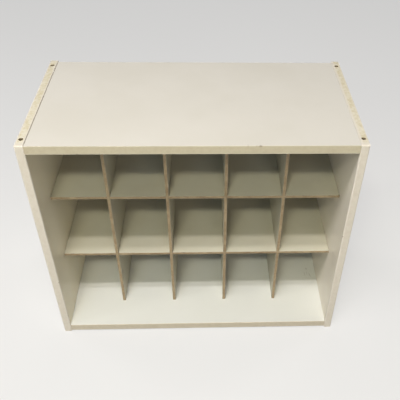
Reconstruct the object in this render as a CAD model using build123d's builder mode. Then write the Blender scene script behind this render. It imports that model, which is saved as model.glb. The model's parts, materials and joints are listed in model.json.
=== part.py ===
from build123d import *
import os

# A stackable cubby unit: a carcass of laminated boards around a grid of thin sheets
# Lengths are in millimetres, X runs across the width, Y from front to back and Z up
# The origin is on the floor, at the middle of the footprint

# Overall size
width = 610.0
depth = 315.0
height = 508.0

# Carcass boards
side = 16.0  # thickness of the two sides
board = 17.0  # thickness of the top and bottom boards
foot = 4.0  # the sides reach this far below the bottom board
end_gap = 0.2  # at each end of the top and bottom boards

# Bands glued to the edges: thin ones on the top and bottom boards, thick rounded ones on the sides
band = 0.8
band_round = 0.4
side_band = 3.0
side_front_round = 2.5
side_top_round = 1.2

# Back sheet, which slides in grooves near the rear of the sides
back_sheet = 2.5
rear_lip = 4.0
groove_depth = 6.0
groove_clearance = 0.25
back_drop = 0.5  # from the upper bands of the sides down to the sheet's upper edge

# Grid of shelves and dividers, half-lapped into each other
columns = 5
rows = 3
grid_sheet = 6.0
grid_setback = 70.0
grid_clearance = 0.3
lap_clearance = 0.15

# Stacking holes: pins sit tight in the upper edges of the sides, and slip into the lower ones
stack_hole = 8.0
stack_slip = 0.3  # radial room that the lower holes add
stack_depth = 25.0
stack_inset = 21.5

# Dowels between the sides and the top and bottom boards
fit = 0.1  # radial clearance of dowels, bolts, cams and nails in their holes
dowel = 8.0
dowel_margin = 84.0
dowel_reach = 22.0
dowel_skin = 6.0
dowel_end_gap = 0.5
dowel_chamfer = 1.0

# Cam locks in the undersides of the top and bottom boards
cam = 15.0
cam_margin = 52.0
cam_inset = 24.0
cam_over_axis = 4.5
cam_end_gap = 0.2
cross_length = 9.0
cross_width = 1.8
cross_depth = 2.2

# Bolts that screw into the sides and hook into the cams
bolt_thread = 5.0
bolt_skin = 5.0
bolt_end_gap = 0.5
bolt_shaft = 6.4
bolt_bore = 8.0
bolt_neck = 3.6
bolt_head_length = 4.0
hook_room = 0.5

# Nails through the back sheet into the rear edges of the top and bottom boards
nail = 1.4
nail_length = 20.0
nail_head = 3.6
nail_head_height = 0.7
nail_count = 6
nail_margin = 34.0
nail_end_gap = 1.0

# Faces of the carcass
inner = width / 2 - side
front = -depth / 2
rear = depth / 2
core_front = front + band
side_core_front = front + side_band
side_core_top = height - side_band
floor = foot + board
ceiling = height - board
back_rear = rear - rear_lip
back_front = back_rear - back_sheet
back_top = side_core_top - back_drop
undersides = (foot, ceiling)

# Faces of the grid, its shelf undersides and the middles of its dividers
grid_front = front + grid_setback
grid_rear = back_front - grid_clearance
lap = (grid_front + grid_rear) / 2
row_clear = (ceiling - floor - (rows - 1) * grid_sheet) / rows
column_clear = (2 * inner - (columns - 1) * grid_sheet) / columns
shelf_levels = [floor + k * row_clear + (k - 1) * grid_sheet for k in range(1, rows)]
divider_places = [-inner + k * column_clear + (k - 0.5) * grid_sheet for k in range(1, columns)]

# Places of the fittings
board_end = inner - end_gap
cam_place = board_end - cam_inset
cam_pocket = board / 2 + cam_over_axis
cam_ys = (front + cam_margin, back_front - cam_margin)
dowel_ys = (front + dowel_margin, back_front - dowel_margin)
stack_ys = (front + stack_inset, rear - stack_inset)
nail_pitch = 2 * (board_end - nail_margin) / (nail_count - 1)
nail_xs = [nail_margin - board_end + k * nail_pitch for k in range(nail_count)]
cam_points = [(y, level + board / 2) for level in undersides for y in cam_ys]
dowel_points = [(y, level + board / 2) for level in undersides for y in dowel_ys]
nail_points = [(x, level + board / 2) for level in undersides for x in nail_xs]
stack_points = [(-width / 2 + side / 2, y) for y in stack_ys]


def middle(low, high):
    return (low + high) / 2


# Left side: groove for the back sheet, blind holes for bolts and dowels, stacking holes
with BuildPart() as left_side_panel:
    with BuildSketch(Plane.YZ.offset(-width / 2)):
        with Locations((middle(side_core_front, rear), middle(0, side_core_top))):
            Rectangle(rear - side_core_front, side_core_top)
    extrude(amount=side)
    with BuildSketch(Plane.YZ.offset(-inner)):
        with Locations((middle(back_front, back_rear), middle(0, side_core_top))):
            Rectangle(back_sheet + 2 * groove_clearance, side_core_top)
    extrude(amount=-groove_depth, mode=Mode.SUBTRACT)
    with BuildSketch(Plane.YZ.offset(-inner)):
        with Locations(*cam_points):
            Circle(bolt_thread / 2 + fit)
    extrude(amount=-(side - bolt_skin), mode=Mode.SUBTRACT)
    with BuildSketch(Plane.YZ.offset(-inner)):
        with Locations(*dowel_points):
            Circle(dowel / 2 + fit)
    extrude(amount=-(side - dowel_skin), mode=Mode.SUBTRACT)
    with BuildSketch(Plane.XY.offset(side_core_top)):
        with Locations(*stack_points):
            Circle(stack_hole / 2)
    extrude(amount=side_band - stack_depth, mode=Mode.SUBTRACT)
    with BuildSketch(Plane.XY):
        with Locations(*stack_points):
            Circle(stack_hole / 2 + stack_slip)
    extrude(amount=stack_depth, mode=Mode.SUBTRACT)

with BuildPart() as right_side_panel:
    mirror(left_side_panel.part, about=Plane.YZ)


# Top or bottom board: cam pockets below, bores in both ends, nail holes behind
def crossboard(underside):
    axis_height = underside + board / 2
    with BuildPart() as piece:
        with BuildSketch(Plane.XY.offset(underside)):
            with Locations((0, middle(core_front, back_front))):
                Rectangle(2 * board_end, back_front - core_front)
        extrude(amount=board)
        with BuildSketch(Plane.XY.offset(underside)):
            with Locations(*[(x, y) for x in (-cam_place, cam_place) for y in cam_ys]):
                Circle(cam / 2)
        extrude(amount=cam_pocket, mode=Mode.SUBTRACT)
        for end, inward in ((-board_end, 1), (board_end, -1)):
            with BuildSketch(Plane.YZ.offset(end)):
                with Locations(*[(y, axis_height) for y in cam_ys]):
                    Circle(bolt_bore / 2)
            extrude(amount=inward * cam_inset, mode=Mode.SUBTRACT)
            with BuildSketch(Plane.YZ.offset(end)):
                with Locations(*[(y, axis_height) for y in dowel_ys]):
                    Circle(dowel / 2 + fit)
            extrude(amount=inward * dowel_reach, mode=Mode.SUBTRACT)
        with BuildSketch(Plane.XZ.offset(-back_front)):
            with Locations(*[(x, axis_height) for x in nail_xs]):
                Circle(nail / 2 + fit)
        extrude(amount=nail_length - back_sheet + nail_end_gap, mode=Mode.SUBTRACT)
    return piece


bottom_panel = crossboard(foot)
top_panel = crossboard(ceiling)


# Thin band on the front edge of the top or bottom board, with its outer arrises eased
def front_band(underside):
    with BuildPart() as piece:
        with BuildSketch(Plane.XZ.offset(-front)):
            with Locations((0, underside + board / 2)):
                Rectangle(2 * board_end, board)
        extrude(amount=-band)
        fillet(piece.faces().sort_by(Axis.Y)[0].edges(), band_round)
    return piece


bottom_front_band = front_band(foot)
top_front_band = front_band(ceiling)

# Bands on the front edges of the sides, rounded along both arrises and over the top
with BuildPart() as left_front_band:
    with BuildSketch(Plane.XZ.offset(-front)):
        with Locations((middle(-width / 2, -inner), middle(0, height))):
            Rectangle(side, height)
    extrude(amount=-side_band)
    front_edges = left_front_band.faces().sort_by(Axis.Y)[0].edges().sort_by(Axis.Z)
    fillet(front_edges[1:], side_front_round)

with BuildPart() as right_front_band:
    mirror(left_front_band.part, about=Plane.YZ)

# Bands on the upper edges of the sides, pierced by the stacking holes
with BuildPart() as left_top_band:
    with BuildSketch(Plane.XY.offset(side_core_top)):
        with Locations((middle(-width / 2, -inner), middle(side_core_front, rear))):
            Rectangle(side, rear - side_core_front)
        with Locations(*stack_points):
            Circle(stack_hole / 2, mode=Mode.SUBTRACT)
    extrude(amount=side_band)
    upper_face = left_top_band.faces().sort_by(Axis.Z)[-1]
    fillet(upper_face.edges().filter_by(Axis.Y), side_top_round)

with BuildPart() as right_top_band:
    mirror(left_top_band.part, about=Plane.YZ)

# Back sheet, with a hole for each nail
with BuildPart() as back_panel:
    with BuildSketch(Plane.XZ.offset(-back_front)):
        with Locations((0, middle(foot, back_top))):
            Rectangle(2 * (inner + groove_depth - groove_clearance), back_top - foot)
        with Locations(*nail_points):
            Circle(nail / 2 + fit, mode=Mode.SUBTRACT)
    extrude(amount=-back_sheet)

# Nails, each a shank with a flat head behind the back sheet
with BuildPart() as back_nails:
    with BuildSketch(Plane.XZ.offset(-back_rear)):
        with Locations(*nail_points):
            Circle(nail / 2)
    extrude(amount=nail_length)
    with BuildSketch(Plane.XZ.offset(-back_rear)):
        with Locations(*nail_points):
            Circle(nail_head / 2)
    extrude(amount=-nail_head_height)


# Shelf with slots from its front edge to half its depth, one for each divider
def shelf(level):
    with BuildPart() as piece:
        with BuildSketch(Plane.XY.offset(level)):
            with Locations((0, middle(grid_front, grid_rear))):
                Rectangle(2 * (inner - grid_clearance), grid_rear - grid_front)
            with Locations(*[(x, middle(grid_front, lap + lap_clearance)) for x in divider_places]):
                Rectangle(
                    grid_sheet + 2 * lap_clearance,
                    lap + lap_clearance - grid_front,
                    mode=Mode.SUBTRACT,
                )
        extrude(amount=grid_sheet)
    return piece


# Divider with slots from its rear edge to half its depth, in which the shelves rest
def divider(place):
    slot_height = grid_sheet + lap_clearance
    with BuildPart() as piece:
        with BuildSketch(Plane.YZ.offset(place - grid_sheet / 2)):
            with Locations((middle(grid_front, grid_rear), middle(floor, ceiling - grid_clearance))):
                Rectangle(grid_rear - grid_front, ceiling - grid_clearance - floor)
            slot_middle = middle(lap - lap_clearance, grid_rear)
            with Locations(*[(slot_middle, level + slot_height / 2) for level in shelf_levels]):
                Rectangle(grid_rear - lap + lap_clearance, slot_height, mode=Mode.SUBTRACT)
        extrude(amount=grid_sheet)
    return piece


# Dowels, half in a side and half in the end of a board
with BuildPart() as dowels:
    seat = side - dowel_skin - dowel_end_gap
    with BuildSketch(Plane.YZ.offset(-inner - seat)):
        with Locations(*dowel_points):
            Circle(dowel / 2)
    extrude(amount=seat + end_gap + dowel_reach - dowel_end_gap)
    chamfer(dowels.edges().filter_by(GeomType.CIRCLE), dowel_chamfer)
    mirror(about=Plane.YZ)

# Cam bolts: a threaded root in the side, a shaft, a thin neck and a head inside the cam
with BuildPart() as cam_bolts:
    root = side - bolt_skin - bolt_end_gap
    shaft_length = end_gap + cam_inset - cam / 2
    neck_length = cam / 2 - bolt_head_length / 2
    start = -inner - root
    for diameter, length in (
        (bolt_thread, root),
        (bolt_shaft, shaft_length),
        (bolt_neck, neck_length),
        (bolt_shaft, bolt_head_length),
    ):
        with BuildSketch(Plane.YZ.offset(start)):
            with Locations(*cam_points):
                Circle(diameter / 2)
        extrude(amount=length)
        start = start + length
    mirror(about=Plane.YZ)

# Cam locks: a drum with a slot for the bolt's neck and head, and a cross for the driver
with BuildPart() as cam_locks:
    for underside in undersides:
        hook_base = underside + board / 2 - bolt_shaft / 2 - hook_room
        with BuildSketch(Plane.XY.offset(underside)):
            with Locations(*[(-cam_place, y) for y in cam_ys]):
                Circle(cam / 2 - fit)
        extrude(amount=cam_pocket - cam_end_gap)
        with BuildSketch(Plane.XY.offset(hook_base)):
            with Locations(*[(-cam_place, y) for y in cam_ys]):
                Rectangle(bolt_head_length + 2 * hook_room, bolt_shaft + 2 * hook_room)
            with Locations(*[(-cam_place - cam / 4, y) for y in cam_ys]):
                Rectangle(cam / 2, bolt_neck + 2 * hook_room)
        extrude(amount=bolt_shaft + 2 * hook_room, mode=Mode.SUBTRACT)
        with BuildSketch(Plane.XY.offset(underside)):
            with Locations(*[(-cam_place, y) for y in cam_ys]):
                Rectangle(cross_length, cross_width)
                Rectangle(cross_width, cross_length)
        extrude(amount=cross_depth, mode=Mode.SUBTRACT)
    mirror(about=Plane.YZ)

pieces = {
    "left_side_panel": left_side_panel,
    "right_side_panel": right_side_panel,
    "top_panel": top_panel,
    "bottom_panel": bottom_panel,
    "back_panel": back_panel,
    "left_side_front_band": left_front_band,
    "right_side_front_band": right_front_band,
    "left_side_top_band": left_top_band,
    "right_side_top_band": right_top_band,
    "top_front_band": top_front_band,
    "bottom_front_band": bottom_front_band,
    "dowels": dowels,
    "cam_bolts": cam_bolts,
    "cam_locks": cam_locks,
    "back_nails": back_nails,
}
for number, level in enumerate(shelf_levels, start=1):
    pieces[f"shelf_{number}"] = shelf(level)
for number, place in enumerate(divider_places, start=1):
    pieces[f"divider_{number}"] = divider(place)

os.makedirs("parts", exist_ok=True)
for name, piece in pieces.items():
    piece.part.label = name
    export_step(piece.part, f"parts/{name}.step")
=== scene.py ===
import json
from math import radians

import bmesh
import bpy
import numpy as np
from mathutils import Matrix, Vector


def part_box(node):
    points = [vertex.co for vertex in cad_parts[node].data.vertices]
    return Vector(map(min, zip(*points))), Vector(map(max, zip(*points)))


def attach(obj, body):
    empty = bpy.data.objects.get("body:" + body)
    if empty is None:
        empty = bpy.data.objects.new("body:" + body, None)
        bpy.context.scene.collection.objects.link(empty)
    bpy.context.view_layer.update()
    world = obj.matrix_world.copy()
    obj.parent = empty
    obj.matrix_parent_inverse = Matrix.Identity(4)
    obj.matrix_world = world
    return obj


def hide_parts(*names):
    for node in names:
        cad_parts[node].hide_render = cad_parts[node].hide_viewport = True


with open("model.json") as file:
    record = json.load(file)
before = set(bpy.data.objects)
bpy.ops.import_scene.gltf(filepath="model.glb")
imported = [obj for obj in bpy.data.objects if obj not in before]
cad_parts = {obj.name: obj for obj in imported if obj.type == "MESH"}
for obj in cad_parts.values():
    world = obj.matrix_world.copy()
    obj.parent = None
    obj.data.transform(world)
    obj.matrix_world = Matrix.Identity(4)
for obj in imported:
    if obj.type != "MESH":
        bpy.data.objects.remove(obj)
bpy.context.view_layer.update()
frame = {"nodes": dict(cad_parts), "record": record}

# Cubby unit: laminated boards around a grid of thin sheets, seen from above and in front
# Metres; X runs across the width, Y from front to back and Z up

nodes = frame["nodes"]
mm = 0.001
xAxis, yAxis, zAxis = 0, 1, 2
print("frame:", len(nodes), "nodes")


# Helpers for the finishes

# Limits that hold most values of a noise, and closer ones for clouds and for grain
noiseRange = (0.3, 0.7)
cloudRange = (0.35, 0.7)
grainRange = (0.35, 0.65)


def newFinish(name):
    finish = bpy.data.materials.new(name)
    finish.use_nodes = True
    tree = finish.node_tree
    return finish, tree, tree.nodes["Principled BSDF"]


def addNode(tree, kind, inputs=None, **settings):
    node = tree.nodes.new(kind)
    for key, value in settings.items():
        setattr(node, key, value)
    for key, value in (inputs or {}).items():
        if isinstance(value, bpy.types.NodeSocket):
            tree.links.new(value, node.inputs[key])
        else:
            node.inputs[key].default_value = value
    return node


def objectPlace(tree):
    return addNode(tree, "ShaderNodeTexCoord").outputs["Object"]


def axesOf(tree, place):
    return addNode(tree, "ShaderNodeSeparateXYZ", {"Vector": place}).outputs


# Share of bare fibre, of a chip, and of the inside of a hole (which gets painted shade), that makePiece
# keeps at each point
def bareShare(tree):
    return addNode(tree, "ShaderNodeAttribute", attribute_name="bare").outputs["Fac"]


def stretched(tree, place, scale, turn=(0.0, 0.0, 0.0)):
    settings = {"Vector": place, "Scale": scale, "Rotation": turn}
    return addNode(tree, "ShaderNodeMapping", settings).outputs["Vector"]


def noiseOf(tree, place, size, detail=4.0, roughness=0.55):
    settings = {"Vector": place, "Scale": 1 / size, "Detail": detail, "Roughness": roughness}
    return addNode(tree, "ShaderNodeTexNoise", settings).outputs["Fac"]


def ease(tree, value, low, high, start=0.0, end=1.0):
    settings = {"Value": value, "From Min": low, "From Max": high, "To Min": start, "To Max": end}
    return addNode(tree, "ShaderNodeMapRange", settings, interpolation_type="SMOOTHSTEP").outputs["Result"]


def maths(tree, operation, first, second=0.0):
    return addNode(tree, "ShaderNodeMath", {0: first, 1: second}, operation=operation).outputs[0]


def mixed(tree, share, first, second):
    settings = {0: share, 6: first, 7: second}
    return addNode(tree, "ShaderNodeMix", settings, data_type="RGBA").outputs[2]


def bumped(tree, height, strength, distance):
    settings = {"Height": height, "Strength": strength, "Distance": distance}
    return addNode(tree, "ShaderNodeBump", settings).outputs["Normal"]


def paint(tree, shader, **sockets):
    for name, value in sockets.items():
        socket = shader.inputs[{"colour": "Base Color"}.get(name, name.capitalize())]
        if isinstance(value, bpy.types.NodeSocket):
            tree.links.new(value, socket)
        else:
            socket.default_value = value


def dress(piece, finish):
    piece.data.materials.clear()
    piece.data.materials.append(finish)


def rgb(red, green, blue):
    return (red, green, blue, 1.0)


# Distance from a board's middle plane, or one shifted from it, as a share of half its thickness
def depthIn(tree, place, node, axis, shift=0.0):
    low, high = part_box(node)
    half = (high[axis] - low[axis]) / 2
    away = maths(tree, "SUBTRACT", axesOf(tree, place)[axis], (high[axis] + low[axis]) / 2 + shift)
    return maths(tree, "DIVIDE", maths(tree, "ABSOLUTE", away), half), half


# Helpers for the meshes

meshing = {"mergeReach": 0.002 * mm, "sharpAngle": 34}


# Quads over a grid of points; closed columns join the last one to the first
def gridQuads(index, closeColumns=False):
    if closeColumns:
        index = np.hstack([index, index[:, :1]])
    quads = [index[:-1, :-1], index[1:, :-1], index[1:, 1:], index[:-1, 1:]]
    return np.stack(quads, -1).reshape(-1, 4)


# Drops unused points, merges seams, turns the faces outwards and puts the piece in its CAD node's place
def makePiece(name, points, quads, finish, node, caps=(), bare=None):
    points = np.reshape(points, (-1, 3))
    used = np.unique(np.concatenate([np.ravel(quads), *caps]))
    renumber = np.zeros(len(points), int)
    renumber[used] = np.arange(len(used))
    faces = renumber[quads].tolist() + [renumber[cap].tolist() for cap in caps]
    mesh = bpy.data.meshes.new(name)
    mesh.from_pydata(points[used].tolist(), [], faces)
    if bare is not None:
        share = np.ravel(bare)[used].astype(float)
        mesh.attributes.new("bare", "FLOAT", "POINT").data.foreach_set("value", share)
    shape = bmesh.new()
    shape.from_mesh(mesh)
    bmesh.ops.remove_doubles(shape, verts=shape.verts, dist=meshing["mergeReach"])
    bmesh.ops.recalc_face_normals(shape, faces=shape.faces)
    shape.to_mesh(mesh)
    shape.free()
    mesh.polygons.foreach_set("use_smooth", np.ones(len(mesh.polygons), bool))
    mesh.set_sharp_from_angle(angle=radians(meshing["sharpAngle"]))
    mesh.materials.append(finish)
    piece = bpy.data.objects.new(name, mesh)
    bpy.context.scene.collection.objects.link(piece)
    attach(piece, "root")
    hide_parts(node)
    return piece


# Lines between stops, about one step apart, with a narrow gap beside each stop for its eased edge
def linesBetween(stops, step, gap):
    runs = []
    for start, end in zip(stops[:-1], stops[1:]):
        count = max(2, int(round((end - start) / step)))
        runs.append(np.r_[start, np.linspace(start + gap, end - gap, count)])
    return np.r_[np.concatenate(runs), stops[-1]]


# Swell between supports: zero at each support, a squared sine with its own height in each bay
def baySwell(along, supports, heights):
    bay = np.clip(np.searchsorted(supports, along, side="right") - 1, 0, len(supports) - 2)
    share = (along - supports[bay]) / (supports[bay + 1] - supports[bay])
    return np.asarray(heights)[bay] * np.sin(np.pi * share) ** 2


# Chipboard core: pale and dark flakes with finer dust, and painted shade inside the pin holes
chipboard = {
    "pale": rgb(0.56, 0.43, 0.27), "dark": rgb(0.24, 0.15, 0.075), "flake": 2.6 * mm, "dust": 0.7 * mm,
    "holeShade": rgb(0.19, 0.145, 0.085), "holeShadeDepth": 30 * mm, "holeShadeFade": 3 * mm,
    "roughness": 0.9, "pitStrength": 0.7, "pitDepth": 0.4 * mm,
}


def chipboardCore(tree, place):
    flakes = addNode(tree, "ShaderNodeTexVoronoi", {"Vector": place, "Scale": 1 / chipboard["flake"]})
    tone = addNode(tree, "ShaderNodeSeparateColor", {"Color": flakes.outputs["Color"]}).outputs[0]
    dust = noiseOf(tree, place, chipboard["dust"], detail=3.0)
    share = maths(tree, "MULTIPLY", tone, ease(tree, dust, *noiseRange))
    colour = mixed(tree, share, chipboard["pale"], chipboard["dark"])
    return colour, maths(tree, "ADD", flakes.outputs["Distance"], dust)


# White laminate on a board's two faces, with the core at its bare edges and in its holes
laminate = {
    # The same white laminate, with a tone for each board: each is made lighter or darker by how light falls
    # on that board, which is painted light and shade; the sides' outer faces share one plainer tone
    "left_side_panel": {"white": rgb(0.93, 0.86, 0.68), "warm": rgb(0.915, 0.835, 0.645)},
    "right_side_panel": {"white": rgb(0.93, 0.865, 0.745), "warm": rgb(0.915, 0.84, 0.715)},
    "top_panel": {"white": rgb(0.638, 0.60, 0.533), "warm": rgb(0.614, 0.576, 0.504)},
    "bottom_panel": {"white": rgb(0.763, 0.756, 0.70), "warm": rgb(0.743, 0.736, 0.675)},
    "outer": {"white": rgb(0.805, 0.757, 0.67), "warm": rgb(0.78, 0.727, 0.63)},
    "cloud": 160 * mm, "skin": 0.15 * mm, "skinFade": (1.6, 0.8),
    "peel": 0.9 * mm, "peelStrength": 0.12, "peelDepth": 0.05 * mm,
    "smudge": 35 * mm, "smoother": (0.56, 0.44),  # below the core's roughness
    "scuff": rgb(0.55, 0.51, 0.44), "scuffScale": (14.0, 150.0, 110.0), "scuffTurn": (0.2, 0.3, 0.5),
    "scuffRange": (0.67, 0.8), "scuffShare": 0.2, "markCore": 0.35,
    # Dark tone for the rubbed marks and chips, and for the painted shade along the top board's open joint at
    # the left
    "grimeAndShade": rgb(0.22, 0.18, 0.12), "jointShadeReach": 1.7 * mm, "jointShadeWave": 6 * mm, "jointShadeSpread": (0.7, 1.3),
    "jointShadeShare": 0.9,
}
# Faint rubbed marks on the floor board: middle, half length, half width, turn and strength
floorMarks = [
    ((262 * mm, -11 * mm), 9 * mm, 1.3 * mm, 4, 0.26),
    ((268 * mm, -9 * mm), 9 * mm, 1.2 * mm, -3, 0.22),
    ((274 * mm, -14 * mm), 9 * mm, 1.5 * mm, 14, 0.32),
    ((268 * mm, 7 * mm), 5 * mm, 3.0 * mm, 20, 0.25),
]
# Chips in the laminate along the front edge of the top board, written the same way
topMarks = [
    ((113.8 * mm, -156.2 * mm), 1.7 * mm, 2.0 * mm, 0, 0.55),
    ((92.0 * mm, -154.0 * mm), 1.1 * mm, 1.6 * mm, 0, 0.35),
    ((69.0 * mm, -154.2 * mm), 1.0 * mm, 1.5 * mm, 0, 0.25),
]


# A mark is one minus a smooth rise of its oval distance from the middle
def rubbedMark(tree, place, middle, length, width, turn, strength):
    settings = {"Vector": place, "Location": (*middle, 0.0), "Rotation": (0.0, 0.0, radians(turn))}
    settings["Scale"] = (width, length, 1.0)
    own = addNode(tree, "ShaderNodeMapping", settings, vector_type="TEXTURE").outputs["Vector"]
    level = {0: own, 1: (1.0, 1.0, 0.0)}
    flat = addNode(tree, "ShaderNodeVectorMath", level, operation="MULTIPLY").outputs[0]
    away = addNode(tree, "ShaderNodeVectorMath", {0: flat}, operation="LENGTH").outputs["Value"]
    return ease(tree, away, laminate["markCore"], 1.0, start=strength, end=0.0)


# Painted shade along an open joint, on both sides of the place where its boards meet; it is put only at the
# joints on the left
def jointShade(tree, place, colour, joint, strength):
    near = maths(tree, "ABSOLUTE", maths(tree, "SUBTRACT", axesOf(tree, place)[xAxis], joint))
    wave = noiseOf(tree, place, laminate["jointShadeWave"])
    reach = ease(tree, wave, *noiseRange, *laminate["jointShadeSpread"])
    distance = maths(tree, "DIVIDE", near, reach)
    share = ease(tree, distance, 0.0, laminate["jointShadeReach"], start=strength, end=0.0)
    return mixed(tree, share, colour, laminate["grimeAndShade"])


# Painted shade inside the pin holes that are drilled down into a side's upper edge
def shadedHoleCore(tree, place, node, core):
    low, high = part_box(node)
    axes = axesOf(tree, place)
    fade = chipboard["holeShadeFade"]
    bottom = high.z - chipboard["holeShadeDepth"]
    deep = ease(tree, axes[zAxis], bottom, bottom + fade)
    inner = ease(tree, axes[yAxis], high.y - 2 * fade, high.y - fade, start=1.0, end=0.0)
    return mixed(tree, maths(tree, "MULTIPLY", deep, inner), core, chipboard["holeShade"])


# Tone of a laminate for a board or a face: clouds between its white and its warm white; a board's tones hold
# painted light and shade
def whiteOf(tree, cloud, look):
    return mixed(tree, ease(tree, cloud, *cloudRange), laminate[look]["white"], laminate[look]["warm"])


# A side's outer face has its own plainer tone, apart from the inner face's tone, which holds painted light
# and shade; the side's middle plane parts it from the inner face
def outerFace(tree, place, node, cloud, inner):
    low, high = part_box(node)
    middle = abs(low.x + high.x) / 2
    across = maths(tree, "ABSOLUTE", axesOf(tree, place)[xAxis])
    return mixed(tree, maths(tree, "GREATER_THAN", across, middle), inner, whiteOf(tree, cloud, "outer"))


def laminatedBoard(node, axis, marks=(), shadedJoint=None):
    finish, tree, shader = newFinish(node + "_laminate")
    place = objectPlace(tree)
    depth, half = depthIn(tree, place, node, axis)
    inner, outer = [1 - share * laminate["skin"] / half for share in laminate["skinFade"]]
    skin = ease(tree, depth, inner, outer)
    cloud = noiseOf(tree, place, laminate["cloud"], detail=3.0)
    white = whiteOf(tree, cloud, node)
    core, grit = chipboardCore(tree, place)
    if axis == xAxis:
        white = outerFace(tree, place, node, cloud, white)
        # painted shade inside the pin holes
        core = shadedHoleCore(tree, place, node, core)
    streaks = stretched(tree, place, laminate["scuffScale"], laminate["scuffTurn"])
    streak = noiseOf(tree, streaks, 1.0, detail=5.0, roughness=0.6)
    scuffed = ease(tree, streak, *laminate["scuffRange"], end=laminate["scuffShare"])
    white = mixed(tree, scuffed, white, laminate["scuff"])
    for mark in marks:
        white = mixed(tree, rubbedMark(tree, place, *mark), white, laminate["grimeAndShade"])
    # painted shade along the joint at the top board's left end
    if shadedJoint is not None:
        white = jointShade(tree, place, white, shadedJoint, laminate["jointShadeShare"])
    dimples = noiseOf(tree, place, laminate["peel"], detail=2.0)
    peel = bumped(tree, dimples, laminate["peelStrength"], laminate["peelDepth"])
    pits = bumped(tree, grit, chipboard["pitStrength"], chipboard["pitDepth"])
    normal = addNode(tree, "ShaderNodeMix", {0: skin, 4: pits, 5: peel}, data_type="VECTOR").outputs[1]
    smudge = noiseOf(tree, place, laminate["smudge"])
    smoother = maths(tree, "MULTIPLY", skin, ease(tree, smudge, *noiseRange, *laminate["smoother"]))
    rough = maths(tree, "SUBTRACT", chipboard["roughness"], smoother)
    paint(tree, shader, colour=mixed(tree, skin, core, white), normal=normal, roughness=rough)
    return finish


def finishBoards():
    for side in ("left_side_panel", "right_side_panel"):
        dress(nodes[side], laminatedBoard(side, xAxis))
    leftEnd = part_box("top_panel")[0].x
    # the top board gets painted shade along its joint at the left end
    dress(nodes["top_panel"], laminatedBoard("top_panel", zAxis, marks=topMarks, shadedJoint=leftEnd))
    dress(nodes["bottom_panel"], laminatedBoard("bottom_panel", zAxis, marks=floorMarks))


finishBoards()
print("boards: laminate and core")


# Edge bands: thick rounded strips on the sides, thin ones on the cross boards, paler where they are rubbed
bands = {
    "side_top": {
        "arris": 1.2 * mm, "tone": rgb(0.67, 0.614, 0.489),
        "mottle": rgb(0.56, 0.484, 0.312), "worn": rgb(0.67, 0.614, 0.532),
    },
    "side_front": {
        "arris": 2.5 * mm, "wornReach": 3.0 * mm, "tone": rgb(0.76, 0.69, 0.58),
        "mottle": rgb(0.721, 0.645, 0.53), "worn": rgb(0.785, 0.719, 0.619),
    },
    "top_front": {
        "arris": 0.4 * mm, "wornReach": 1.5 * mm, "tone": rgb(0.581, 0.515, 0.363),
        "mottle": rgb(0.542, 0.472, 0.323), "worn": rgb(0.673, 0.612, 0.485),
    },
    "bottom_front": {
        "arris": 0.4 * mm, "wornReach": 1.5 * mm, "tone": rgb(0.641, 0.56, 0.428),
        "mottle": rgb(0.599, 0.521, 0.391), "worn": rgb(0.76, 0.676, 0.543),
    },
    "blotch": 7 * mm, "blotchRange": (0.38, 0.66), "fleck": 1.1 * mm, "fleckRange": (0.3, 0.6),
    "fleckShare": (0.5, 1.0), "fleckStrength": 0.1, "fleckDepth": 0.05 * mm, "roughness": (0.45, 0.58),
    "ragged": 0.05, "wornFull": 0.45, "wornShare": 0.9, "frontEnd": 14 * mm, "frontShare": 0.8,
    # painted shade along the left band's joint, and inside the pin holes
    "jointShadeShare": 0.6, "holeShade": rgb(0.27, 0.21, 0.13),
    "chip": rgb(0.36, 0.28, 0.19), "chipDepth": 0.22 * mm, "chipShare": 0.85,
    "step": 1.2 * mm, "arrisLines": 8, "flatLines": 15, "crown": 0.03 * mm, "endEase": 0.3 * mm,
    "scrape": 0.03 * mm, "scrapeLines": 6, "seed": 11, "glueLine": 0.1 * mm, "nickFloor": 0.15 * mm,
}
# Where the cream of an upper band is kept: the stripe's shift from the band's middle and the rubbed reach
stripes = {"left_side_top_band": (0.0, 3.2 * mm), "right_side_top_band": (1.2 * mm, 4.2 * mm)}
# Nicks in millimetres: place along and across from the band's middle, reach both ways and depth
nicks = {
    "top_front_band": [
        (113.8, 8.2, 2.2, 1.6, 0.55), (107.0, 8.3, 0.9, 0.8, 0.30), (92.0, 8.3, 0.8, 0.8, 0.28),
        (-201.0, -8.3, 1.2, 0.9, 0.30),
    ],
    "bottom_front_band": [(148.0, -8.3, 2.4, 1.0, 0.4)],
    "left_side_front_band": [(-90.0, 7.2, 1.2, 0.8, 0.3)],
    "right_side_front_band": [(35.0, -7.2, 1.0, 0.9, 0.3)],
}
# Straight bands: kind, node, the axes along and across it, and whether its foot is square
straightBands = [
    ("side_front", "left_side_front_band", zAxis, xAxis, True),
    ("side_front", "right_side_front_band", zAxis, xAxis, True),
    ("top_front", "top_front_band", xAxis, zAxis, False),
    ("bottom_front", "bottom_front_band", xAxis, zAxis, False),
]


# An upper band is paler at its front end; the left one has painted shade along its open joint, and both have
# painted shade inside their holes
def wornTopBand(tree, place, node, cream):
    low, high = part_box(node)
    y = axesOf(tree, place)[yAxis]
    front = ease(tree, y, low.y, low.y + bands["frontEnd"], start=bands["frontShare"], end=0.0)
    cream = mixed(tree, front, cream, bands["side_top"]["worn"])
    # painted shade along the left band's open joint
    if node.startswith("left"):
        cream = jointShade(tree, place, cream, high.x, bands["jointShadeShare"])
    return mixed(tree, bareShare(tree), cream, bands["holeShade"])


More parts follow.
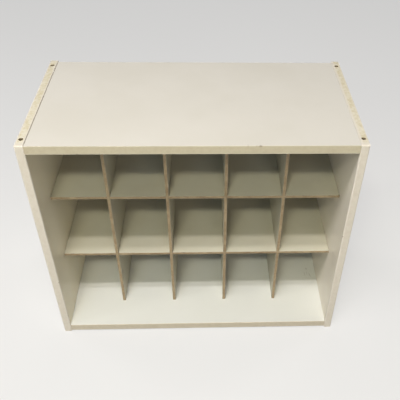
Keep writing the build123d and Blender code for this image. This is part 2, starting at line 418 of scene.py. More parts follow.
# Cream with blotches and flecks, rubbed pale towards the band's long edges
def edgeBand(kind, node, acrossAxis):
    look = bands[kind]
    shift, wornReach = stripes.get(node) or (0.0, look["wornReach"])
    finish, tree, shader = newFinish(node + "_cream")
    place = objectPlace(tree)
    depth, half = depthIn(tree, place, node, acrossAxis, shift)
    blotch = noiseOf(tree, place, bands["blotch"], detail=5.0, roughness=0.62)
    fleck = noiseOf(tree, place, bands["fleck"], detail=3.0)
    flecked = ease(tree, fleck, *bands["fleckRange"], *bands["fleckShare"])
    share = maths(tree, "MULTIPLY", ease(tree, blotch, *bands["blotchRange"]), flecked)
    cream = mixed(tree, share, look["tone"], look["mottle"])
    ragged = ease(tree, blotch, *noiseRange, start=-bands["ragged"], end=bands["ragged"])
    outwards = maths(tree, "ADD", depth, ragged)
    rubStart, rubFull = 1 - wornReach / half, 1 - bands["wornFull"] * wornReach / half
    rub = ease(tree, outwards, rubStart, rubFull, end=bands["wornShare"])
    cream = mixed(tree, rub, cream, look["worn"])
    if node in stripes:
        cream = wornTopBand(tree, place, node, cream)
    else:
        cream = mixed(tree, bareShare(tree), cream, bands["chip"])
    normal = bumped(tree, fleck, bands["fleckStrength"], bands["fleckDepth"])
    rough = ease(tree, blotch, *noiseRange, *bands["roughness"])
    paint(tree, shader, colour=cream, normal=normal, roughness=rough)
    return finish


# Section of a band: flat glued side, quarter-round arrises and a faintly crowned face
def bandSection(half, thick, arris):
    turn = np.linspace(0.0, np.pi / 2, bands["arrisLines"])
    flat = np.linspace(arris - half, half - arris, bands["flatLines"])[1:-1]
    across = np.r_[-half, -half + arris * (1 - np.cos(turn)), flat, half - arris * (1 - np.sin(turn)), half]
    low, high = thick - arris * (1 - np.sin(turn)), thick - arris * (1 - np.cos(turn))
    out = np.r_[0.0, low, np.full(len(flat), thick), high, 0.0]
    return across, out - bands["crown"] * (across / half) ** 2 * (out > 0)


# Lines along a band, and the height that its quarter-round ends leave at each; a square end has one line
def bandRun(low, high, rounds, thick):
    turn = np.linspace(0.0, np.pi / 2, bands["arrisLines"])
    first = turn if rounds[0] else turn[:1]
    flat = np.linspace(low + rounds[0], high - rounds[1], int((high - low) / bands["step"]))[1:-1]
    along = np.r_[low + rounds[0] * (1 - np.cos(first)), flat, high - rounds[1] * (1 - np.sin(turn))]
    start, end = thick - rounds[0] * (1 - np.sin(first)), thick - rounds[1] * (1 - np.cos(turn))
    return along, np.r_[start, np.full(len(flat), thick), end]


# A scraper's uneven pressure: random depths a few lines apart, joined by straight runs
def scraped(count, seed):
    depths = np.random.default_rng(seed).uniform(-1.0, 0.0, count // bands["scrapeLines"] + 2)
    knots = np.linspace(0, len(depths) - 1, count)
    return bands["scrape"] * np.interp(knots, np.arange(len(depths)), depths)


# Nicks press the face in by bell curves and stop above the glued side
def nicked(node, out, along, across):
    for place, side, length, breadth, depth in nicks[node]:
        bell = ((along - place * mm) / (length * mm)) ** 2 + ((across - side * mm) / (breadth * mm)) ** 2
        pressed = out - depth * mm * np.exp(-bell) * (out > bands["glueLine"])
        out = np.maximum(pressed, np.minimum(out, bands["nickFloor"]))
    return out


# The section carried along the band and held under its rounded ends, then scraped and nicked
def straightBand(kind, node, alongAxis, acrossAxis, squareFoot, seed):
    low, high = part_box(node)
    thick = high.y - low.y
    half = (high[acrossAxis] - low[acrossAxis]) / 2
    arris = bands[kind]["arris"]
    rounds = (0.0 if squareFoot else arris, arris)
    along, cap = bandRun(low[alongAxis], high[alongAxis], rounds, thick)
    across, section = bandSection(half, thick, arris)
    run, side = np.meshgrid(along, across, indexing="ij")
    whole = np.minimum(section[None, :], cap[:, None])
    whole = whole + scraped(len(along), seed)[:, None] * (whole > thick / 2)
    out = nicked(node, whole, run - (low[alongAxis] + high[alongAxis]) / 2, side)
    points = np.zeros(run.shape + (3,))
    points[..., alongAxis] = run
    points[..., acrossAxis] = side + (low[acrossAxis] + high[acrossAxis]) / 2
    points[..., yAxis] = high.y - out
    index = np.arange(run.size).reshape(run.shape)
    quads = gridQuads(index, closeColumns=True)
    finish = edgeBand(kind, node, acrossAxis)
    chipped = np.clip((whole - out) / bands["chipDepth"], 0.0, bands["chipShare"])
    ends = [index[0], index[-1]]
    return makePiece(node + "_strip", points, quads, finish, node, caps=ends, bare=chipped)


# Pin holes in the upper bands of the sides
holes = {"ease": 0.3 * mm, "sides": 16, "rings": 6, "ringGrowth": 1.4, "bendLines": 6, "runStep": 3 * mm}
pinHoles = next(mount["dims"] for mount in frame["record"]["mounts"] if mount["name"] == "stack_top")


# Square around a hole: rings that pass from a circle to the square's outline
def holeSquare(half, centre, radius):
    side = np.linspace(-half, half, holes["sides"] + 1)[:-1]
    flat = np.full_like(side, half)
    square = np.stack([np.r_[side, flat, -side, -flat], np.r_[-flat, side, flat, -side]], -1)
    turn = np.arctan2(square[:, 1], square[:, 0])
    circle = radius * np.stack([np.cos(turn), np.sin(turn)], -1)
    share = np.linspace(0.0, 1.0, holes["rings"])[:, None, None] ** holes["ringGrowth"]
    return circle + (square - circle) * share + np.array([0.0, centre])


# Outline of a flat rectangle, run around once, with the way outwards at each of its points
def rimOutline(acrossLines, sides):
    wide = acrossLines[-1]
    ends = acrossLines[1:-1]
    runs = [(np.full_like(sides, -wide), sides), (ends, np.full_like(ends, sides[-1]))]
    runs += [(np.full_like(sides, wide), sides[::-1]), (-ends, np.full_like(ends, sides[0]))]
    outline = np.concatenate([np.stack(run, -1) for run in runs])
    near = 0.0001 * mm
    outX = np.sign(outline[:, 0]) * (abs(outline[:, 0]) > wide - near)
    outY = 1.0 * (outline[:, 1] > sides[-1] - near) - 1.0 * (outline[:, 1] < sides[0] + near)
    return outline, np.stack([outX, outY], -1)


# A plan moved to the band's middle and lifted to one height, or to a height for each of its points
def lifted(plan, middle, height):
    heights = np.broadcast_to(height, plan.shape[:2])[..., None]
    return np.concatenate([plan + [middle, 0.0], heights], -1)


# A hole's upper and lower square, and its throat: an upright tube whose mouth is a quarter round
def holeGrids(half, middle, centre, bottom, top):
    radius = pinHoles["hole_r_mm"] * mm
    bend = np.linspace(0.0, np.pi / 2, holes["bendLines"])
    upper = lifted(holeSquare(half, centre, radius + holes["ease"]), middle, top)
    lower = lifted(holeSquare(half, centre, radius), middle, bottom)
    circle = holeSquare(half, 0.0, 1.0)[0]
    reach = np.r_[radius + holes["ease"] * (1 - np.sin(bend)), radius]
    height = np.r_[top - holes["ease"] * (1 - np.cos(bend)), bottom]
    throat = lifted(reach[:, None, None] * circle + [0.0, centre], middle, height[:, None])
    # share of painted shade down the throat; the lower square takes it in full
    inside = np.r_[np.sin(bend) ** 2, 1.0][:, None]
    return [(upper, 0.0, True), (lower, 1.0, True), (throat, inside, True)]


# The rim around a flat: a quarter round outwards and down, then straight to the foot and back under the flat
def rimGrid(outline, outwards, arris, middle, bottom, top):
    bend = np.linspace(0.0, np.pi / 2, holes["bendLines"])
    out = np.r_[np.sin(bend), 1.0, 0.0]
    drop = np.r_[1 - np.cos(bend), 1.0, 1.0][:, None]
    foot = np.r_[np.zeros(len(bend)), 1.0, 1.0][:, None]
    reach = (abs(outwards) * arris).max(-1)
    height = (1 - foot) * (top - drop * reach) + foot * bottom
    return lifted(outline + out[:, None, None] * outwards * arris, middle, height), 0.0, True


# Joins grids into one mesh; each has its points, their share inside a hole and whether its columns close
def joinGrids(grids):
    points, quads, inside = [], [], []
    start = 0
    for grid, share, closed in grids:
        index = start + np.arange(grid[..., 0].size).reshape(grid.shape[:2])
        start += index.size
        points.append(grid.reshape(-1, 3))
        quads.append(gridQuads(index, closeColumns=closed))
        inside.append(np.broadcast_to(share, index.shape).ravel())
    return np.concatenate(points), np.concatenate(quads), np.concatenate(inside)


# An upper band: plain runs and hole squares by turns along it, laid at two heights and closed by the rim
def drilledBand(node):
    low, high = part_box(node)
    arris = np.array([bands["side_top"]["arris"], bands["endEase"]])
    half = (high.x - low.x) / 2 - arris[0]
    middle = (low.x + high.x) / 2
    centre = pinHoles["spacing_y_mm"] * mm / 2
    squares = [-centre - half, half - centre, centre - half, centre + half]
    stops = [low.y + arris[1], *squares, high.y - arris[1]]
    acrossLines = np.linspace(-half, half, holes["sides"] + 1)
    grids, sideLines = [], [[stops[0]]]
    for number, (start, end) in enumerate(zip(stops[:-1], stops[1:])):
        if number % 2:
            sideLines.append(np.linspace(start, end, holes["sides"] + 1)[1:])
            grids += holeGrids(half, middle, (start + end) / 2, low.z, high.z)
        else:
            run = np.linspace(start, end, max(2, int((end - start) / holes["runStep"])))
            sideLines.append(run[1:])
            plan = np.stack(np.meshgrid(acrossLines, run), -1)
            grids += [(lifted(plan, middle, height), 0.0, False) for height in (high.z, low.z)]
    rim = rimOutline(acrossLines, np.concatenate(sideLines))
    grids.append(rimGrid(*rim, arris, middle, low.z, high.z))
    points, quads, inside = joinGrids(grids)
    finish = edgeBand("side_top", node, xAxis)
    return makePiece(node + "_strip", points, quads, finish, node, bare=inside)


for number, settings in enumerate(straightBands):
    straightBand(*settings, bands["seed"] + number)
for node in stripes:
    drilledBand(node)
print("bands: strips with worn arrises and nicks")


# Grid sheets: white foil faces and raw sawn edges, half-lapped into each other
gridSheet = {
    "foil": rgb(0.603, 0.569, 0.45), "shade": rgb(0.573, 0.534, 0.415), "cloud": 90 * mm,
    "fibre": rgb(0.42, 0.322, 0.199), "burn": rgb(0.302, 0.218, 0.128), "burnSize": 16 * mm,
    "burnRange": (0.75, 1.25), "fuzz": 0.5 * mm, "fuzzDepth": 0.2 * mm, "fuzzStrength": (0.5, 0.04),
    "sawScale": 900.0, "sawAcross": 60.0, "fray": 1.1 * mm, "frayRange": (0.55, 0.75), "tear": 2.4 * mm,
    "skinRange": (0.35, 0.65), "roughness": (0.9, 0.45),  # fibre, then foil
    "lapRoom": 0.15 * mm, "step": 3.5 * mm, "eased": 0.25 * mm, "saw": 0.14 * mm,
    "sag": 0.28 * mm, "sagShare": (0.3, 1.0), "sagAtBack": 0.5, "bow": 0.35 * mm, "bowAtBack": 0.4,
}
# Sheets and their seeds
shelfSeeds = {"shelf_1": 21, "shelf_2": 22}
dividerSeeds = {"divider_1": 31, "divider_2": 32, "divider_3": 33, "divider_4": 34}


def foiledSheet(node, axis):
    finish, tree, shader = newFinish(node + "_foil")
    place = objectPlace(tree)
    skin = ease(tree, bareShare(tree), *gridSheet["skinRange"], start=1.0, end=0.0)
    fuzz = noiseOf(tree, place, gridSheet["fuzz"])
    torn = noiseOf(tree, place, gridSheet["tear"], detail=5.0, roughness=0.7)
    fromFront = maths(tree, "SUBTRACT", axesOf(tree, place)[yAxis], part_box(node)[0].y)
    frayed = maths(tree, "ADD", maths(tree, "DIVIDE", fromFront, gridSheet["fray"]), torn)
    skin = maths(tree, "MULTIPLY", skin, ease(tree, frayed, *gridSheet["frayRange"]))
    cloud = noiseOf(tree, place, gridSheet["cloud"], detail=3.0)
    white = mixed(tree, ease(tree, cloud, *cloudRange), gridSheet["foil"], gridSheet["shade"])
    sawn = [gridSheet["sawScale"]] * 3
    sawn[axis] = gridSheet["sawAcross"]  # saw marks run across the edge
    marks = noiseOf(tree, stretched(tree, place, sawn), 1.0, detail=3.0)
    burn = noiseOf(tree, place, gridSheet["burnSize"], detail=3.0)
    rubbed = maths(tree, "MULTIPLY", maths(tree, "ADD", marks, fuzz), 0.5)
    burnt = ease(tree, maths(tree, "ADD", rubbed, burn), *gridSheet["burnRange"])
    raw = mixed(tree, burnt, gridSheet["fibre"], gridSheet["burn"])
    strength = ease(tree, skin, 0.0, 1.0, *gridSheet["fuzzStrength"])
    paint(tree, shader, colour=mixed(tree, skin, raw, white))
    paint(tree, shader, normal=bumped(tree, fuzz, strength, gridSheet["fuzzDepth"]))
    paint(tree, shader, roughness=ease(tree, skin, 0.0, 1.0, *gridSheet["roughness"]))
    return finish


# A sheet on a grid of lines: cells inside a slot are left out, both faces get the kept cells,
# and a wall stands on each line between a kept cell and a missing one
def sheetOnGrid(uLines, vLines, slots, half, rise, seed, saw, eased):
    uMiddle = (uLines[:-1] + uLines[1:]) / 2
    vMiddle = (vLines[:-1] + vLines[1:]) / 2
    keep = np.ones((len(uMiddle), len(vMiddle)), bool)
    for uLow, uHigh, vLow, vHigh in slots:
        keep &= ~np.outer((uMiddle > uLow) & (uMiddle < uHigh), (vMiddle > vLow) & (vMiddle < vHigh))
    cells = np.pad(keep, 1).astype(int)
    before, after = cells[:-1, :-1] + cells[:-1, 1:], cells[1:, :-1] + cells[1:, 1:]
    below, above = cells[:-1, :-1] + cells[1:, :-1], cells[:-1, 1:] + cells[1:, 1:]
    rim = (before + after) < 4  # points without all four of their cells
    u, v = np.meshgrid(uLines, vLines, indexing="ij")
    inwardsU, inwardsV = np.sign(after - before), np.sign(above - below)
    chance = np.random.default_rng(seed)
    faces = []
    for sign in (1, -1):
        bite = saw * chance.uniform(0.0, 1.0, u.shape) * rim
        w = sign * (half - eased * rim) + rise
        faces.append(np.stack([u + bite * inwardsU, v + bite * inwardsV, w], -1))
    index = np.arange(2 * u.size).reshape(2, *u.shape)
    upper, lower = index
    quads = [gridQuads(face).reshape(*keep.shape, 4)[keep] for face in index]
    uEdge = cells[:-1, 1:-1] != cells[1:, 1:-1]
    quads.append(np.stack([upper[:, :-1], upper[:, 1:], lower[:, 1:], lower[:, :-1]], -1)[uEdge])
    vEdge = cells[1:-1, :-1] != cells[1:-1, 1:]
    quads.append(np.stack([upper[:-1], upper[1:], lower[1:], lower[:-1]], -1)[vEdge])
    return np.stack(faces), np.concatenate(quads), np.stack([rim, rim])


# A shelf is slotted at each divider, from its front to the middle of its depth; between the dividers it sags
# by squared sines that grow less towards the back
def shelfSheet(node, seed):
    low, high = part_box(node)
    lap = (low.y + high.y) / 2
    slots, supports = [], [low.x]
    for divider in dividerSeeds:
        dividerLow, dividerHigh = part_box(divider)
        slots.append((dividerLow.x - gridSheet["lapRoom"], dividerHigh.x + gridSheet["lapRoom"], low.y, lap))
        supports.append((dividerLow.x + dividerHigh.x) / 2)
    supports = np.array(supports + [high.x])
    stops = np.r_[low.x, np.ravel([slot[:2] for slot in slots]), high.x]
    x = linesBetween(stops, gridSheet["step"], gridSheet["eased"])
    y = linesBetween(np.array([low.y, lap, high.y]), 2 * gridSheet["step"], gridSheet["eased"])
    shares = np.random.default_rng(seed).uniform(*gridSheet["sagShare"], len(supports) - 1)
    towardsBack = np.linspace(1.0, gridSheet["sagAtBack"], len(y))
    sag = -baySwell(x, supports, shares * gridSheet["sag"])[:, None] * towardsBack[None]
    half = (high.z - low.z) / 2
    points, quads, rim = sheetOnGrid(x, y, slots, half, sag, seed, gridSheet["saw"], gridSheet["eased"])
    points[..., zAxis] += (low.z + high.z) / 2
    return makePiece(node + "_sheet", points, quads, foiledSheet(node, zAxis), node, bare=rim)


# A divider is slotted at each shelf, from the middle of its depth to its back; between the shelves it bows
# to either side by squared sines that grow less towards the back
def dividerSheet(node, seed):
    low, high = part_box(node)
    lap = (low.y + high.y) / 2
    slots, supports = [], [low.z]
    for shelf in shelfSeeds:
        shelfLow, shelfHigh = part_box(shelf)
        slots.append((lap, high.y, shelfLow.z - gridSheet["lapRoom"], shelfHigh.z + gridSheet["lapRoom"]))
        supports.append((shelfLow.z + shelfHigh.z) / 2)
    supports = np.array(supports + [high.z])
    y = linesBetween(np.array([low.y, lap, high.y]), 2 * gridSheet["step"], gridSheet["eased"])
    stops = np.r_[low.z, np.ravel([slot[2:] for slot in slots]), high.z]
    z = linesBetween(stops, gridSheet["step"], gridSheet["eased"])
    shares = np.random.default_rng(seed).uniform(-1.0, 1.0, len(supports) - 1)
    towardsBack = np.linspace(1.0, gridSheet["bowAtBack"], len(y))
    bow = towardsBack[:, None] * baySwell(z, supports, shares * gridSheet["bow"])[None]
    half = (high.x - low.x) / 2
    points, quads, rim = sheetOnGrid(y, z, slots, half, bow, seed, gridSheet["saw"], gridSheet["eased"])
    points = np.roll(points, 1, -1)  # depth, height, thickness become Y, Z, X
    points[..., xAxis] += (low.x + high.x) / 2
    return makePiece(node + "_sheet", points, quads, foiledSheet(node, xAxis), node, bare=rim)


for node, seed in shelfSeeds.items():
    shelfSheet(node, seed)
for node, seed in dividerSeeds.items():
    dividerSheet(node, seed)
print("grid: shelves and dividers with sawn edges")


# Back sheet: white inside, brown pressed fibre outside, pressed in around each nail
backSheet = {
    "white": rgb(0.69, 0.67, 0.63), "brown": rgb(0.34, 0.215, 0.115), "dark": rgb(0.235, 0.14, 0.07),
    "dusty": rgb(0.40, 0.28, 0.175), "dustScale": (7.0, 7.0, 3.0), "dustRange": (0.4, 0.75),
    "dustShare": 0.55,
    "fibre": 2.2 * mm, "mesh": 1.3 * mm, "meshDepth": 0.25 * mm, "meshStrength": (0.6, 0.03),
    "skinRange": (0.4, 0.6), "roughness": (0.8, 0.42),  # fibre, then white
    "bulge": 1.1 * mm, "proud": 0.4 * mm, "dimpleReach": 4.5 * mm, "dimplePull": 1.15,
    "step": 5.0 * mm, "fineStep": 1.2 * mm, "fineReach": 9.9 * mm, "eased": 0.15 * mm, "seed": 41,
}
nails = {
    "perRow": 6, "headRadius": 1.8 * mm, "headHeight": 0.7 * mm, "shankRadius": 0.7 * mm, "point": 2.4 * mm,
    "underShare": 0.94, "domeShare": 0.97, "rimShare": 0.35, "domeStart": 0.5, "domeLines": 6,
    "sides": 24, "skew": 0.05, "seed": 51,
}


def nailPlaces():
    low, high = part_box("back_nails")
    reach = nails["headRadius"]
    x = np.linspace(low.x + reach, high.x - reach, nails["perRow"])
    return np.stack(np.meshgrid(x, [low.z + reach, high.z - reach]), -1).reshape(-1, 2)


# Brown fibre under dust, with the print of a wire mesh where two waves cross; the inner face is white
def hardboardFinish():
    finish, tree, shader = newFinish("back_sheet_hardboard")
    place = objectPlace(tree)
    inside = ease(tree, bareShare(tree), *backSheet["skinRange"], start=1.0, end=0.0)
    fibre = noiseOf(tree, place, backSheet["fibre"], detail=5.0, roughness=0.65)
    brown = mixed(tree, ease(tree, fibre, *grainRange), backSheet["brown"], backSheet["dark"])
    dust = noiseOf(tree, stretched(tree, place, backSheet["dustScale"]), 1.0, detail=6.0, roughness=0.62)
    dusted = ease(tree, dust, *backSheet["dustRange"], end=backSheet["dustShare"])
    brown = mixed(tree, dusted, brown, backSheet["dusty"])
    waveScale = np.pi / backSheet["mesh"] / 10.0  # at a scale of one, a wave repeats ten times in pi
    settings = {"Vector": place, "Scale": waveScale, "Distortion": 0.6, "Detail": 1.0}
    across = addNode(tree, "ShaderNodeTexWave", settings, bands_direction="X").outputs["Fac"]
    upright = addNode(tree, "ShaderNodeTexWave", settings, bands_direction="Z").outputs["Fac"]
    relief = maths(tree, "ADD", maths(tree, "MULTIPLY", across, upright), fibre)
    strength = ease(tree, inside, 0.0, 1.0, *backSheet["meshStrength"])
    paint(tree, shader, colour=mixed(tree, inside, brown, backSheet["white"]))
    paint(tree, shader, normal=bumped(tree, relief, strength, backSheet["meshDepth"]))
    paint(tree, shader, roughness=ease(tree, inside, 0.0, 1.0, *backSheet["roughness"]))
    return finish


# Evenly spaced lines between stops, with two steps by turns
def stepsBetween(stops, steps):
    runs = []
    for number, (start, end) in enumerate(zip(stops[:-1], stops[1:])):
        runs.append(np.linspace(start, end, max(2, int((end - start) / steps[number % 2])))[:-1])
    return np.r_[np.concatenate(runs), stops[-1]]


# The sheet bulges backwards by a product of two cosines and stands proud between the nails,
# and a bell curve around each nail takes both away
def backPanel():
    low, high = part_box("back_panel")
    places = nailPlaces()
    near = backSheet["fineReach"]
    rowX = places[:nails["perRow"], 0]
    xStops = np.r_[low.x, np.stack([rowX - near, rowX + near], -1).ravel(), high.x]
    zStops = np.r_[low.z, places[0, 1] + near, places[-1, 1] - near, high.z]
    x = stepsBetween(xStops, (backSheet["step"], backSheet["fineStep"]))
    z = stepsBetween(zStops, (backSheet["fineStep"], backSheet["step"]))
    wide, tall = high.x - low.x, high.z - low.z
    overX = np.cos(np.pi * x / wide)
    overZ = np.cos(np.pi * (z - low.z - tall / 2) / tall)
    bulge = np.outer(overX, backSheet["bulge"] * overZ + backSheet["proud"])
    away = (x[:, None, None] - places[:, 0]) ** 2 + (z[None, :, None] - places[:, 1]) ** 2
    held = np.exp(-away / backSheet["dimpleReach"] ** 2).sum(-1)
    rise = bulge * np.clip(1 - backSheet["dimplePull"] * held, 0.0, 1.0)
    half = (high.y - low.y) / 2
    points, quads, rim = sheetOnGrid(x, z, [], half, rise, backSheet["seed"], 0.0, backSheet["eased"])
    bare = np.stack([np.ones_like(rim[0]), rim[1]])  # the outer face and the edges
    points = points[..., [0, 2, 1]]  # width, height, thickness become X, Z, Y
    points[..., yAxis] += (low.y + high.y) / 2
    finish = hardboardFinish()
    return makePiece("back_panel_sheet", points, quads, finish, "back_panel", bare=bare)


# Fittings: cast cams, plated bolts and nails, beech dowels
fittings = {
    "cam_locks": {"tone": rgb(0.52, 0.52, 0.53), "spot": rgb(0.40, 0.40, 0.41), "rough": 0.42, "metal": 1},
    "cam_bolts": {"tone": rgb(0.62, 0.61, 0.60), "spot": rgb(0.50, 0.49, 0.47), "rough": 0.28, "metal": 1},
    "back_nails": {"tone": rgb(0.58, 0.57, 0.56), "spot": rgb(0.44, 0.42, 0.39), "rough": 0.35, "metal": 1},
    "dowels": {"tone": rgb(0.62, 0.43, 0.25), "spot": rgb(0.48, 0.31, 0.16), "rough": 0.7, "metal": 0},
}
fittingGrain = {
    "scale": (120.0, 900.0, 900.0), "roughShare": (0.85, 1.2), "strength": 0.15, "depth": 0.05 * mm,
}


def fittingFinish(name, tone, spot, rough, metal):
    finish, tree, shader = newFinish(name + "_finish")
    place = objectPlace(tree)
    grain = noiseOf(tree, stretched(tree, place, fittingGrain["scale"]), 1.0)
    smooth, coarse = fittingGrain["roughShare"]
    paint(tree, shader, colour=mixed(tree, ease(tree, grain, *grainRange), tone, spot), metallic=metal)
    paint(tree, shader, roughness=ease(tree, grain, *noiseRange, rough * smooth, rough * coarse))
    paint(tree, shader, normal=bumped(tree, grain, fittingGrain["strength"], fittingGrain["depth"]))
    return finish


# Half outline of a nail, as radii along its axis: point, shank, rim and a quarter of an oval for the dome
def nailOutline(length):
    head, height, shank = nails["headRadius"], nails["headHeight"], nails["shankRadius"]
    dome = np.linspace(0.0, 1.0, nails["domeLines"])[1:]
    under = length - height
    narrowing = head * np.sqrt(1 - dome ** 2) * nails["domeShare"]
    radius = np.r_[0.0, shank, shank, head * nails["underShare"], head, narrowing]
    rim = under + height * nails["rimShare"]
    rising = under + height * (nails["domeStart"] + (1 - nails["domeStart"]) * dome)
    along = np.r_[0.0, nails["point"], under, under, rim, rising]
    return radius, along, under


# A nail is its outline turned about its axis, with a head that was struck a little askew
def backNails():
    low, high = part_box("back_nails")
    radius, along, under = nailOutline(high.y - low.y)
    turn = np.linspace(0.0, 2 * np.pi, nails["sides"], endpoint=False)
    reach, angle = np.meshgrid(radius, turn, indexing="ij")
    places = nailPlaces()
    skew = np.random.default_rng(nails["seed"]).uniform(-nails["skew"], nails["skew"], (len(places), 1, 1))
    x = places[:, 0, None, None] + reach * np.cos(angle)
    z = places[:, 1, None, None] + reach * np.sin(angle)
    isHead = (along > under)[:, None]
    y = low.y + along[:, None] + isHead * skew * (reach * np.cos(angle) - abs(reach)) * np.sign(skew)
    points = np.stack([x, np.broadcast_to(y, x.shape), z], -1)
    index = np.arange(points[..., 0].size).reshape(len(places), len(radius), -1)
    quads = np.concatenate([gridQuads(nail, closeColumns=True) for nail in index])
    finish = fittingFinish("back_nails", **fittings["back_nails"])
    return makePiece("back_nails_turned", points, quads, finish, "back_nails")


# Dowels and bolts lie along X; a bolt's parts are radius and length, from the side inwards
dowelForm = {
    "radius": 4.0 * mm, "length": 31.2 * mm, "chamfer": 1.0 * mm, "fluteStart": 1.6 * mm,
    "flutes": 18, "fluteDepth": 0.3 * mm, "sides": 108,
}
boltForm = {
    "thread": (2.5 * mm, 10.5 * mm), "shaft": (3.2 * mm, 16.7 * mm), "neck": (1.8 * mm, 5.5 * mm),
    "head": (3.2 * mm, 4.0 * mm), "pitch": 1.5 * mm, "linesPerPitch": 8, "threadDepth": 0.45 * mm,
    "point": 1.5 * mm, "eased": 0.4 * mm, "sides": 48,
}


# A turned shape, as radii along its axis and around it, copied to both sides, front and back, top and bottom
def cornerFittings(name, node, along, radius, reach):
    low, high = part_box(node)
    ends = [low.x, high.x], [low.y + reach, high.y - reach], [low.z + reach, high.z - reach]
    start, y, z = [axis.reshape(-1, 1, 1) for axis in np.meshgrid(*ends, indexing="ij")]
    turn = np.linspace(0.0, 2 * np.pi, radius.shape[1], endpoint=False)
    x = start - np.sign(start) * along[:, None]
    points = np.stack(np.broadcast_arrays(x, y + radius * np.cos(turn), z + radius * np.sin(turn)), -1)
    index = np.arange(points[..., 0].size).reshape(points.shape[:-1])
    quads = np.concatenate([gridQuads(copy, closeColumns=True) for copy in index])
    return makePiece(name, points, quads, fittingFinish(node, **fittings[node]), node)


# A dowel is a chamfered rod; squared cosines around it press the flutes in between the chamfers
def flutedDowels():
    form = dowelForm
    radius, length, chamfer, fluteStart = form["radius"], form["length"], form["chamfer"], form["fluteStart"]
    along = np.r_[0.0, 0.0, chamfer, fluteStart]
    along = np.r_[along, length - along[::-1]]
    rod = np.r_[0.0, radius - chamfer, radius, radius]
    rod = np.r_[rod, rod[::-1]]
    fluted = np.r_[0.0, 0.0, 0.0, 1.0, 1.0, 0.0, 0.0, 0.0]
    turn = np.linspace(0.0, 2 * np.pi, form["sides"], endpoint=False)
    flutes = form["fluteDepth"] * (0.5 + 0.5 * np.cos(form["flutes"] * turn)) ** 2
    shape = rod[:, None] - np.outer(fluted, flutes)
    return cornerFittings("dowels_fluted", "dowels", along, shape, radius)


# A bolt's thread is a V that climbs one pitch for each turn; shaft, neck and head are plain steps
def threadedBolts():
    form = boltForm
    rodRadius, rodLength = form["thread"]
    along = np.linspace(0.0, rodLength, int(form["linesPerPitch"] * rodLength / form["pitch"]))
    turn = np.linspace(0.0, 1.0, form["sides"], endpoint=False)
    climb = (along[:, None] / form["pitch"] - turn) % 1.0
    blunt = np.clip(0.5 + 0.5 * along / form["point"], 0.0, 1.0)
    thread = (rodRadius - form["threadDepth"] * abs(2 * climb - 1)) * blunt[:, None]
    steps, radii = [0.0], [0.0]
    for radius, length in (form["shaft"], form["neck"], form["head"]):
        steps += [steps[-1], steps[-1] + length]
        radii += [radius, radius]
    steps = np.array(steps[1:-1] + [steps[-1] - form["eased"], steps[-1], steps[-1]]) + rodLength
    radii = np.array(radii[1:-1] + [radii[-1], radii[-1] - form["eased"], 0.0])
    plain = np.repeat(radii[:, None], form["sides"], 1)
    along = np.r_[0.0, along, steps]
    shape = np.vstack([np.zeros((1, form["sides"])), thread, plain])
    return cornerFittings("cam_bolts_threaded", "cam_bolts", along, shape, form["shaft"][0])


backPanel()
backNails()
flutedDowels()
threadedBolts()
dress(nodes["cam_locks"], fittingFinish("cam_locks", **fittings["cam_locks"]))
print("back and fittings: hardboard, nails, metal and beech")


# Stage: pale floor, five ceiling strips, a wide panel in front and low soft light from both rear sides
stage = {
    "floorTone": rgb(0.38, 0.37, 0.36), "floorRoughness": 0.8, "floorReach": 14.0, "floorLines": 9,
    "shownTone": rgb(0.32, 0.31, 0.295), "shownGlow": 0.50,
    "sky": 0.025, "skyTint": rgb(1.0, 1.0, 1.0), "skyShown": rgb(0.57, 0.57, 0.57),
}
# Lamps: place, turn, size, power and tint; the strips look down and the panel looks level
lamps = {
    "nearStrip": ((-0.32, -0.71, 2.5), (0, 0, 0), (1.15, 0.09), 16.3, (1.0, 1.0, 1.03)),
    "farStrip": ((-0.22, -0.94, 2.5), (0, 0, 0), (0.85, 0.09), 22.2, (1.03, 1.0, 1.0)),
    "sideStrip": ((-2.0, -0.78, 2.5), (0, 0, 0), (0.8, 0.3), 12.0, (1.0, 1.0, 1.02)),
    "frontStrip": ((-0.40, -2.07, 2.5), (0, 0, 0), (0.55, 0.24), 39.5, (1.01, 1.0, 0.81)),
    "leftStrip": ((-1.35, -3.2, 2.5), (0, 0, 0), (1.3, 0.24), 21.5, (0.78, 1.0, 1.2)),
    "rightPanel": ((1.13, -4.0, 1.6), (90, 0, 0), (1.13, 1.0), 31.0, (1.02, 1.0, 0.98)),
}
# Low light from behind: turn, strength and spread; it reaches the back and the outer sides, not the bays
rearLights = {"rearLeft": ((0, -87, -32), 2.9, 24), "rearRight": ((0, 87, 32), 2.9, 24)}


# One where a ray comes from the eye, straight or by way of gloss or glass
def seenDirectly(tree):
    path = addNode(tree, "ShaderNodeLightPath").outputs
    glossy = maths(tree, "MAXIMUM", path["Is Camera Ray"], path["Is Glossy Ray"])
    return maths(tree, "MAXIMUM", glossy, path["Is Transmission Ray"])


# Gives the object's light one shader and the eye another
def shownAs(tree, lit, shown, output):
    mix = addNode(tree, "ShaderNodeMixShader", {0: seenDirectly(tree), 1: lit, 2: shown}).outputs[0]
    tree.links.new(mix, tree.nodes[output].inputs["Surface"])


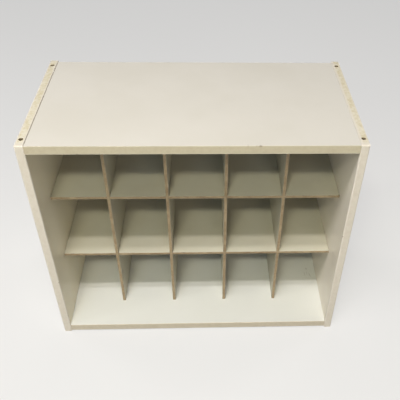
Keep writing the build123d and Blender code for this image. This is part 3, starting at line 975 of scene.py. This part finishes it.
# Matt for the light that it returns; seen directly, it keeps its shadows on a pale glow
def paleFloor():
    reach = stage["floorReach"]
    line = np.linspace(-reach, reach, stage["floorLines"])
    plan = np.stack(np.meshgrid(line, line), -1).reshape(-1, 2)
    mesh = bpy.data.meshes.new("pale_floor")
    index = np.arange(len(plan)).reshape(len(line), -1).T
    mesh.from_pydata(np.c_[plan, np.zeros(len(plan))].tolist(), [], gridQuads(index).tolist())
    finish, tree, shader = newFinish("pale_floor_matt")
    paint(tree, shader, colour=stage["floorTone"], roughness=stage["floorRoughness"])
    shown = addNode(tree, "ShaderNodeBsdfDiffuse", {"Color": stage["shownTone"]}).outputs[0]
    glow = addNode(tree, "ShaderNodeEmission", {"Strength": stage["shownGlow"]}).outputs[0]
    pale = addNode(tree, "ShaderNodeAddShader", {0: shown, 1: glow}).outputs[0]
    shownAs(tree, shader.outputs[0], pale, "Material Output")
    mesh.materials.append(finish)
    floor = bpy.data.objects.new("pale_floor", mesh)
    bpy.context.scene.collection.objects.link(floor)


def softLamp(name, place, turn, size, power, tint):
    lamp = bpy.data.lights.new(name, "AREA")
    lamp.shape = "RECTANGLE"
    lamp.size, lamp.size_y = size
    lamp.energy = power
    lamp.color = tint
    stand = bpy.data.objects.new(name, lamp)
    stand.location = place
    stand.rotation_euler = [radians(angle) for angle in turn]
    bpy.context.scene.collection.objects.link(stand)


def rearLight(name, turn, strength, spread):
    lamp = bpy.data.lights.new(name, "SUN")
    lamp.energy = strength
    lamp.angle = radians(spread)
    stand = bpy.data.objects.new(name, lamp)
    stand.rotation_euler = [radians(angle) for angle in turn]
    stand.visible_glossy = False  # keeps the glare off the top
    bpy.context.scene.collection.objects.link(stand)


def evenSky():
    world = bpy.data.worlds.new("even_sky")
    world.use_nodes = True
    tree = world.node_tree
    light = tree.nodes["Background"]
    light.inputs["Color"].default_value = stage["skyTint"]
    light.inputs["Strength"].default_value = stage["sky"]
    shown = addNode(tree, "ShaderNodeBackground", {"Color": stage["skyShown"]}).outputs[0]
    shownAs(tree, light.outputs[0], shown, "World Output")
    bpy.context.scene.world = world


paleFloor()
for name, settings in lamps.items():
    softLamp(name, *settings)
for name, settings in rearLights.items():
    rearLight(name, *settings)
evenSky()
bpy.context.scene.view_settings.view_transform = "Standard"
print("stage: floor, lamps and sky")


# Camera, standing in front and above, a little to the right of the middle; focal and middle in pixels
camera = {
    "place": (0.0215, -0.9579, 1.0616), "turn": (48.49, -1.31, -2.16),
    "focal": 565.0, "image": 400, "middle": (232, 214), "sensor": 36.0,
}


def placeCamera():
    lens = bpy.data.cameras.new("camera")
    lens.sensor_width = camera["sensor"]
    lens.lens = lens.sensor_width * camera["focal"] / camera["image"]
    lens.shift_x = 0.5 - camera["middle"][0] / camera["image"]
    lens.shift_y = camera["middle"][1] / camera["image"] - 0.5
    stand = bpy.data.objects.new("camera", lens)
    stand.location = camera["place"]
    stand.rotation_euler = [radians(angle) for angle in camera["turn"]]
    bpy.context.scene.collection.objects.link(stand)
    bpy.context.scene.camera = stand


placeCamera()
print("camera: placed")
